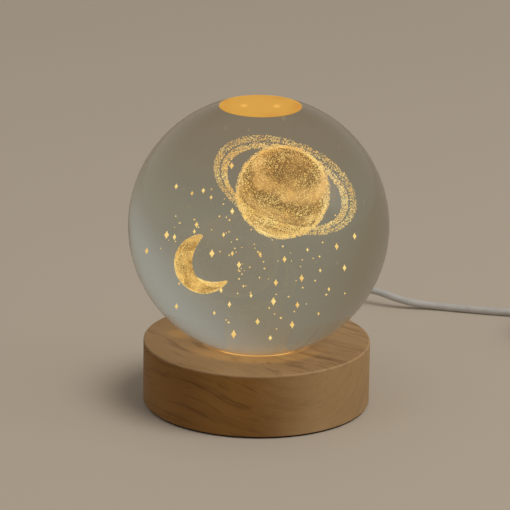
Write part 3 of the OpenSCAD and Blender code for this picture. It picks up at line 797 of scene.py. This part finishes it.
def make_camera():
    """Looks at the lamp as the photograph does."""
    data = bpy.data.cameras.new("camera")
    data.lens = CAMERA_LENS
    data.clip_start = CAMERA_NEAREST
    data.clip_end = CAMERA_FARTHEST
    camera = bpy.data.objects.new("camera", data)
    bpy.context.scene.collection.objects.link(camera)
    back = Vector((0, -math.cos(CAMERA_ELEVATION), math.sin(CAMERA_ELEVATION)))
    roll = Matrix.Rotation(CAMERA_ROLL, 3, back)
    right = roll @ Vector((1, 0, 0))
    up = back.cross(right)
    aim = BALL_MIDDLE - up * BALL_OVER_AIM - right * BALL_RIGHT_OF_AIM
    camera.location = aim + back * CAMERA_DISTANCE
    camera.rotation_euler = Matrix((right, up, back)).transposed().to_euler()
    bpy.context.scene.camera = camera


def curve_through(points):
    """Points along a smooth curve through the given ones."""
    points = [Vector(p) for p in points]
    ends = [2 * points[0] - points[1], *points, 2 * points[-1] - points[-2]]
    line = []
    for a, b, c, d in zip(ends, ends[1:], ends[2:], ends[3:]):
        for i in range(CURVE_STEPS):
            t = i / CURVE_STEPS
            bend = (2 * a - 5 * b + 4 * c - d) * t**2 + (3 * b - 3 * c + d - a) * t**3
            line.append(0.5 * (2 * b + (c - a) * t + bend))
    return line + [points[-1]]


def ease(share):
    """A share from 0 to 1 that starts and ends gently."""
    return share * share * (3 - 2 * share)


def coil_point(turns):
    """A point of the coil: each layer spirals in or out, and climbs to the next."""
    span = LAYER_TURNS + CLIMB_TURNS
    layer = min(COIL_LAYERS - 1, int(turns / span))
    past = turns - layer * span
    run = min(past, LAYER_TURNS) * COIL_STEP
    inner_r = COIL_R - COIL_STEP * LAYER_TURNS
    radius = COIL_R - run if layer % 2 == 0 else inner_r + run
    climb = ease(max(0.0, past - LAYER_TURNS) / CLIMB_TURNS) if layer < COIL_LAYERS - 1 else 0.0
    angle = math.pi / 2 - 2 * math.pi * turns
    rise = Vector((0, 0, (layer + climb) * COIL_STEP))
    return COIL_AT + rise + Vector((radius * math.cos(angle), radius * math.sin(angle), 0))


def lead_line():
    """The centreline of the lead, from the gland through the coil to the switch."""
    steps = round(COIL_TURNS * COIL_STEPS_PER_TURN)
    coil = [coil_point(i / COIL_STEPS_PER_TURN) for i in range(steps + 1)]
    return curve_through(LEAD_ROUTE) + coil + curve_through(RUN_ROUTE)


def make_cord(name, line):
    """A tube along a line in millimetres, with a UV map that runs round and along it."""
    line = [p * MM for p in line]
    ways = [(b - a).normalized() for a, b in zip(line, line[1:])]
    ways = [ways[0]] + [(a + b).normalized() for a, b in zip(ways, ways[1:])] + [ways[-1]]
    side = ways[0].cross(Z).normalized()
    points = []
    lengths = [0.0]
    for i, (spot, way) in enumerate(zip(line, ways)):
        side = (side - way * side.dot(way)).normalized()
        up = side.cross(way)
        for k in range(CORD_SIDES):
            turn = 2 * math.pi * k / CORD_SIDES
            points.append(spot + (side * math.cos(turn) + up * math.sin(turn)) * CORD_D / 2)
        if i:
            lengths.append(lengths[-1] + (spot - line[i - 1]).length)
    faces = []
    corners = []
    for i in range(len(line) - 1):
        low, high = lengths[i] / RIB_PITCH, lengths[i + 1] / RIB_PITCH
        for k in range(CORD_SIDES):
            a, b = i * CORD_SIDES + k, i * CORD_SIDES + (k + 1) % CORD_SIDES
            faces.append((a, b, b + CORD_SIDES, a + CORD_SIDES))
            left, right = k / CORD_SIDES, (k + 1) / CORD_SIDES
            corners += [(left, low), (right, low), (right, high), (left, high)]
    last = (len(line) - 1) * CORD_SIDES
    faces.append(tuple(range(CORD_SIDES - 1, -1, -1)))
    faces.append(tuple(range(last, last + CORD_SIDES)))
    corners += [(0.0, 0.0)] * (2 * CORD_SIDES)
    cord = from_mesh(name, points, faces, MATERIALS["cord"])
    uv = cord.data.uv_layers.new(name="UVMap")
    for loop, corner in zip(uv.data, corners):
        loop.uv = corner
    edit(cord)
    bpy.ops.mesh.select_all(action="SELECT")
    bpy.ops.mesh.normals_make_consistent(inside=False)
    smooth(cord, 50)
    return cord, line, lengths[-1]


def make_cords():
    """The lead and the tail, each with the pieces that it carries."""
    lead, lead_path, lead_length = make_cord("lead", lead_line())
    settle(lead, "cord_lead")
    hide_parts("cord_coil", "cord_run")
    tail, tail_path, tail_length = make_cord("switch_tail", curve_through(TAIL_ROUTE))
    settle(tail, "cord_tail")

    gland = refined("cord_gland", "gland", edge=0.15)
    tie = refined("cord_tie", "coil_tie", edge=0.12)
    lower_shell = refined("switch_lower_shell", "switch_lower", edge=0.25)
    upper_shell = refined("switch_upper_shell", "switch_upper", edge=0.25)
    rocker = refined("switch_rocker", "rocker", edge=0.25)
    grip = refined("plug_grip", "grip", edge=0.2)
    shell = refined("plug_shell", "shell", edge=0.08)
    tongue = refined("plug_tongue", "tongue", edge=0.08)

    on_lead = [
        gland, tie, lower_shell, upper_shell, rocker,
        *[NODES[n] for n in ("cord_inner", "switch_contacts", "switch_leads", "switch_screws")],
    ]
    on_tail = [grip, shell, tongue, NODES["plug_contacts"]]

    # The photograph shows no cord through the glass or mirrored in it
    for piece in (lead, tail, *on_lead, *on_tail):
        piece.visible_transmission = False
        piece.visible_glossy = False

    tuple(Vector(LEAD_ROUTE[0]) * MM)
    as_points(lead_path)
    tuple(Vector(TAIL_ROUTE[0]) * MM)
    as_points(tail_path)


# The glass ball


def make_ball():
    """A sphere cut at both flats, with a hair-thin chamfer round each. The top flat is lit."""
    ball = start(
        "glass_ball", "primitive_uv_sphere", segments=256, ring_count=128, radius=BALL_R,
        location=BALL_MIDDLE,
    )
    for side in (1, -1):
        edit(ball)
        bpy.ops.mesh.select_all(action="SELECT")
        cut = BALL_MIDDLE + Z * (side * FLAT_H)
        bpy.ops.mesh.bisect(
            plane_co=cut, plane_no=Z * side, use_fill=True, clear_outer=True,
            threshold=0.001 * MM,
        )
    edit(ball, "EDGE")

    def on_rim(a, b):
        at_flat = abs(abs(a.z - BALL_MIDDLE.z) - FLAT_H) < NEAR
        return at_flat and abs(a.z - b.z) < NEAR

    pick_edges(ball, on_rim)
    bpy.ops.mesh.bevel(offset=FLAT_CHAMFER, segments=1)
    look_at_none()
    ball.data.materials.append(MATERIALS["crystal"])
    ball.data.materials.append(lit_flat_material())
    for face in ball.data.polygons:
        face.material_index = int(face.center.z > ball_high.z - FLAT_CHAMFER / 2)
    smooth(ball, 6)
    settle(ball, "crystal_ball")


# The engraving


def unit_points(count, seed):
    """Random directions, the same each run, with the dice for what else is drawn."""
    dice = random.Random(seed)
    for _ in range(count):
        level = dice.uniform(-1, 1)
        turn = dice.uniform(0, 2 * math.pi)
        flat = math.sqrt(1 - level * level)
        yield Vector((flat * math.cos(turn), flat * math.sin(turn), level)), dice


def dot_cloud(name, dots, node):
    """Many tiny engraved dots in one piece, each with eight sides, from places and radii."""
    points = []
    faces = []
    ends = [
        Vector(end)
        for end in ((1, 0, 0), (-1, 0, 0), (0, 1, 0), (0, -1, 0), (0, 0, 1), (0, 0, -1))
    ]
    sides = [
        (0, 2, 4), (2, 1, 4), (1, 3, 4), (3, 0, 4), (2, 0, 5), (1, 2, 5), (3, 1, 5), (0, 3, 5),
    ]
    for spot, radius in dots:
        first = len(points)
        points += [spot + end * radius for end in ends]
        faces += [tuple(first + k for k in side) for side in sides]
    settle(from_mesh(name, points, faces, MATERIALS["engraving"]), node, replaces=False)


def make_globe():
    """A cloudy body inside a shell of dots, which lie thicker in bands and clouds."""
    middle = BALL_MIDDLE + GLOBE_AT
    body = start(
        "engraved_globe", "primitive_uv_sphere", segments=96, ring_count=48,
        radius=GLOBE_R * GLOBE_BODY_SHARE, location=middle,
    )
    for vertex in body.data.vertices:
        way = (vertex.co - middle).normalized()
        vertex.co += way * noise.noise(way * 3.0) * GLOBE_UNEVEN
    body.data.materials.append(globe_material())
    smooth(body, 60)
    settle(body, "engraved_planet")
    dots = []
    for way, dice in unit_points(GLOBE_DOTS, seed=5):
        level = way.dot(RING_NORMAL)
        cloud = noise.noise(way * 2.2 + Vector((3, 1, 2))) + 0.5 * noise.noise(way * 6.0)
        band = 0.5 + 0.5 * math.sin(level * GLOBE_BANDS + cloud * 2)
        if dice.random() < 0.36 + 0.26 * band + 0.45 * cloud:
            reach = GLOBE_R * dice.uniform(0.93, 1.0)
            dots.append((middle + way * reach, dice.uniform(*GLOBE_DOT_R) * MM))
    dot_cloud("globe_dots", dots, "engraved_planet")


def ring_point(share, turn, rise):
    """A point of the ring in its own plane, turned as the ring lies."""
    reach = RING_R - RING_W * (1 - share)
    flat = Vector((reach * math.cos(turn), reach * math.sin(turn), rise))
    lie = Matrix.Rotation(RING_ROLL, 3, "Y") @ Matrix.Rotation(RING_LEAN, 3, "X")
    return BALL_MIDDLE + GLOBE_AT + lie @ flat


def make_ring():
    """The ring round the globe: dots in bands, with a clear gap between them."""
    dice = random.Random(8)
    dots = []
    for _ in range(RING_DOTS):
        share = dice.random()
        kept = next(kept for end, kept in RING_BANDS if share < end)
        if dice.random() < kept:
            rise = dice.uniform(-0.5, 0.5) * (RING_T - 0.2 * MM)
            spot = ring_point(share * 0.96 + 0.02, dice.uniform(0, 2 * math.pi), rise)
            dots.append((spot, dice.uniform(*RING_DOT_R) * MM))
    dot_cloud("ring_dots", dots, "engraved_planet")


def make_crescent():
    """The crescent: its body, and dots over both of its curved faces."""
    body = refined("engraved_crescent", "engraved_crescent_body", edge=0.05, rounds=1, sharp=40)
    body.data.materials[0] = engraving_material(
        "engraved_crescent_glow", bright=colour(238, 190, 108), dim=colour(150, 112, 60),
        patch=420.0,
    )
    middle = BALL_MIDDLE + CRESCENT_AT
    bite = middle + CRESCENT_BITE * CRESCENT_R
    bite_r = CRESCENT_BITE_SHARE * CRESCENT_R
    dots = []
    for way, dice in unit_points(CRESCENT_DOTS, seed=11):
        outer = middle + way * CRESCENT_R
        inner = bite + Vector((way.x, 0, way.z)).normalized() * bite_r
        inner.y = middle.y + way.y * CRESCENT_R
        size = dice.uniform(*CRESCENT_DOT_R) * MM
        if (outer - bite).xz.length > bite_r:
            dots.append((outer, size))
        if (inner - middle).length < CRESCENT_R:
            dots.append((inner, size))
    dot_cloud("crescent_dots", dots, "engraved_crescent")


def clear_of_forms(spot, size):
    """True where a star at spot is clear of the globe, its ring and the crescent."""
    room = STAR_MARGIN + size
    off = spot - GLOBE_AT
    up = off.dot(RING_NORMAL)
    out = (off - RING_NORMAL * up).length
    free = off.length > GLOBE_R + room and (abs(up) > room or out > RING_R + room)
    return free and (spot - CRESCENT_AT).length > CRESCENT_R + room


def star_spots():
    """The places and sizes of the stars, in an even spiral, from the middle of the ball."""
    for i in range(STAR_PLACES):
        share = math.sqrt((i + 0.5) / STAR_PLACES)
        turn = i * GOLDEN_ANGLE
        spot = Vector((
            share * STAR_FIELD_R * math.cos(turn),
            STAR_DEPTH * math.sin(turn / 2),
            share * STAR_FIELD_R * math.sin(turn) - STAR_DROP,
        ))
        if clear_of_forms(spot, STAR_R):
            yield spot, STAR_R * (0.55 + 0.45 * abs(math.sin(math.radians(83 * i))))


def make_stars():
    """Stars with long upright points and hollow sides, all from one shape, and tiny specks."""
    one = start("star_shape", "primitive_uv_sphere", segments=8, ring_count=8, radius=1)
    shape = [v.co.copy() for v in one.data.vertices]
    sides = [p.vertices[:] for p in one.data.polygons]
    bpy.data.objects.remove(one)
    for i, p in enumerate(shape):
        ways = (p.x / STAR_WAIST, p.y / STAR_WAIST, p.z)
        spread = sum(abs(way) ** STAR_HOLLOW for way in ways)
        shape[i] = p * spread ** (-1 / STAR_HOLLOW)
    points = []
    faces = []
    for spot, size in star_spots():
        first = len(points)
        points += [BALL_MIDDLE + spot + p * size for p in shape]
        faces += [tuple(first + k for k in side) for side in sides]
    stars = from_mesh("engraved_star_field", points, faces, MATERIALS["engraving"])
    settle(stars, "engraved_stars")
    specks = []
    for way, dice in unit_points(SPECKS, seed=21):
        reach = STAR_FIELD_R * dice.uniform(0.25, 1.0)
        spot = Vector((way.x * reach, way.y * STAR_DEPTH, way.z * reach - STAR_DROP))
        if clear_of_forms(spot, 0):
            specks.append((BALL_MIDDLE + spot, dice.uniform(*SPECK_R) * MM))
    dot_cloud("engraved_specks", specks, "engraved_stars")


# The wooden base


def sink(depth):
    """Extrudes the picked face along Z."""
    bpy.ops.mesh.extrude_region_move(TRANSFORM_OT_translate={"value": (0, 0, depth)})


def level_face(piece, height, up):
    """Picks the face round the Z axis that lies level at a height and faces up or down."""
    pick_faces(
        piece,
        lambda middle, normal: abs(middle.z - height) < NEAR
        and normal.z * up > 0.9
        and middle.xy.length < 0.5 * MM,
    )


def make_base():
    """Turned from one disc: the dished seat and light well above, the pocket below."""
    base = start(
        "turned_base", "primitive_cylinder", vertices=192, radius=BASE_R,
        depth=BASE_TOP - wood_low.z, location=(0, 0, (BASE_TOP + wood_low.z) / 2),
    )
    edit(base)

    # The dished seat, down to the well in a few steps
    level_face(base, BASE_TOP, 1)
    bpy.ops.mesh.inset(thickness=BASE_R - DISH_TOP_R)
    radius = DISH_TOP_R
    height = BASE_TOP
    for i in range(DISH_STEPS):
        new_radius = DISH_TOP_R - (DISH_TOP_R - WELL_R) * (i + 1) / DISH_STEPS
        new_height = BALL_MIDDLE.z - math.sqrt(DISH_R**2 - new_radius**2)
        sink(new_height - height)
        share = new_radius / radius
        bpy.ops.transform.resize(value=(share, share, 1), center_override=(0, 0, new_height))
        radius, height = new_radius, new_height

    # The well, the ledge of the light window, and the hole through it
    sink(window_low.z - height)
    bpy.ops.mesh.inset(thickness=LEDGE_W)
    sink(board_high.z - window_low.z)
    bpy.ops.mesh.delete(type="FACE")

    # From below, the rebate of the cover and the pocket of the board, up to the hole
    level_face(base, wood_low.z, -1)
    bpy.ops.mesh.inset(thickness=BASE_R - COVER_R)
    sink(cover_low.z + COVER_T - wood_low.z)
    bpy.ops.mesh.inset(thickness=COVER_R - POCKET_R)
    sink(board_high.z - cover_low.z - COVER_T)
    bpy.ops.mesh.inset(thickness=POCKET_R - (WELL_R - LEDGE_W))
    bpy.ops.mesh.delete(type="FACE")
    bpy.ops.mesh.select_all(action="SELECT")
    bpy.ops.mesh.remove_doubles(threshold=NEAR)
    bpy.ops.mesh.normals_make_consistent(inside=False)

    # The rounded rims
    edit(base, "EDGE")
    pick_edges(
        base,
        lambda a, b: min(a.xy.length, b.xy.length) > BASE_R - 0.1 * MM
        and abs(a.z - b.z) < 0.1 * MM,
    )
    bpy.ops.mesh.bevel(offset=WOOD_EDGE_R, segments=5)
    look_at_none()

    # The gland's hole
    drill = start(
        "gland_drill", "primitive_cylinder", vertices=48, radius=GLAND_HOLE_R, depth=BASE_R,
        location=(0, BASE_R * 1.05, GLAND_Z), rotation=(math.pi / 2, 0, 0),
    )
    hole = base.modifiers.new("gland_hole", "BOOLEAN")
    hole.object = drill
    hole.solver = "EXACT"
    apply_modifiers(base)
    bpy.data.objects.remove(drill)
    base.data.materials.append(MATERIALS["wood"])
    smooth(base, 30)
    settle(base, "wood_base")


# The other CAD nodes


def dress_nodes():
    """The nodes that no piece stands for take their slot's finish."""
    for node, piece in NODES.items():
        if piece.hide_render:
            continue
        piece.data.materials.clear()
        piece.data.materials.append(MATERIALS[SLOT_OF[node]])


# The floor and the light


HORIZON = colour(158, 151, 141)
BRIGHT_SIDE = colour(187, 187, 190)
WARM_LOW = colour(142, 128, 111)
DARK_FAR = colour(92, 80, 64)
BRIGHT_PATCH = (1.1, 1.05, 0.95, 1)
BRIGHT_PATCH_WAY = Vector((0.876, -0.094, 0.471)).normalized()
FLOOR_SIZE = 16


def seen_through(shader, way):
    """What the glass bends towards the eye, by the way it lies in: bright on the right, warm
    underneath and on the left, and dark at the far right."""
    x, y, height = shader.parts(way)
    bright = shader.step(x * 0.8 + height * 0.62, 0.1, 0.74) * shader.step(height, -0.6, -0.2)
    warm = shader.step(x, -0.2, -0.75) * 0.75 + shader.step(height, -0.6, -0.85) * 0.6
    shade = shader.mix(bright, HORIZON, BRIGHT_SIDE)
    shade = shader.mix(shader.maths("MINIMUM", warm, 1.0), shade, WARM_LOW)
    return shader.mix(shader.step(x, 0.95, 1.0) * 0.7, shade, DARK_FAR)


def make_floor():
    """A pale floor that goes over into the horizon's even light far from the lamp. The glass
    shows it as even light too."""
    floor = start("floor", "primitive_plane", size=FLOOR_SIZE)
    material, shader = new_material("pale_floor")
    place = shader.place()
    x, y, _ = shader.parts(place)
    far = shader.reach(x, y)
    cloud = shader.noise(place, 3.0, 2.0)
    near = principled(
        shader,
        Base_Color=shader.mix(cloud, colour(186, 176, 164), colour(181, 171, 158)),
        Roughness=0.8,
        Specular_IOR_Level=0.2,
    )
    way = shader.vector("NORMALIZE", shader.vector("SUBTRACT", place, tuple(BALL_MIDDLE)))
    through = shader.add("LightPath", out="Is Transmission Ray")
    mirrored = shader.add("LightPath", out="Is Glossy Ray")
    shade = shader.mix(mirrored, HORIZON, WARM_LOW)
    shade = shader.mix(through, shade, seen_through(shader, way))
    glow = principled(
        shader,
        Base_Color=(0, 0, 0, 1),
        Roughness=1.0,
        Specular_IOR_Level=0.0,
        Emission_Color=shade,
        Emission_Strength=1.0,
    )
    even = shader.maths("MAXIMUM", through, mirrored)
    even = shader.maths("MAXIMUM", shader.step(far, 0.35, 1.5), even)
    shader.finish(shader.add("MixShader", None, {0: even, 1: near, 2: glow}))
    floor.data.materials.append(material)


def make_world():
    """A pale dome, darker overhead where it is mirrored, with a soft bright patch."""
    world = bpy.data.worlds.new("studio")
    bpy.context.scene.world = world
    world.use_nodes = True
    shader = Shader(world.node_tree)
    way = shader.add("TexCoord", out="Generated")
    height = shader.parts(way)[2]
    shade = shader.mix(shader.step(height, 0.02, 0.45), HORIZON, colour(158, 153, 145))
    mirrored = shader.add("LightPath", out="Is Glossy Ray")
    shade = shader.mix(mirrored * shader.step(height, 0.1, 0.6), shade, DARK_FAR)
    facing = shader.vector("DOT_PRODUCT", way, tuple(BRIGHT_PATCH_WAY), out="Value")
    shade = shader.mix(shader.step(facing, 0.94, 0.995), shade, BRIGHT_PATCH)
    through = shader.add("LightPath", out="Is Transmission Ray")
    shade = shader.mix(through, shade, seen_through(shader, way))
    background = shader.add("Background", None, {"Color": shade, "Strength": 1.0})
    shader.add("OutputWorld", None, {"Surface": background})


def add_lamp(name, place, size, power, tint):
    """A soft round lamp that shines at the ball and is seen neither in it nor through it."""
    data = bpy.data.lights.new(name, "AREA")
    data.shape = "DISK"
    data.size = size
    data.energy = power
    data.color = tint
    lamp = bpy.data.objects.new(name, data)
    bpy.context.scene.collection.objects.link(lamp)
    lamp.location = place
    lamp.rotation_euler = (BALL_MIDDLE - Vector(place)).to_track_quat("-Z", "Y").to_euler()
    lamp.visible_glossy = False
    lamp.visible_transmission = False


make_camera()
make_cords()
make_ball()
make_globe()
make_ring()
make_crescent()
make_stars()
make_base()
dress_nodes()
make_floor()
make_world()
add_lamp("key_lamp", place=(1.1, -0.6, 1.7), size=1.5, power=25.2, tint=(1.0, 0.96, 0.90))
add_lamp("fill_lamp", place=(-1.4, -0.9, 1.2), size=1.4, power=3, tint=(0.96, 0.97, 1.0))

bpy.context.scene.view_settings.view_transform = "Standard"
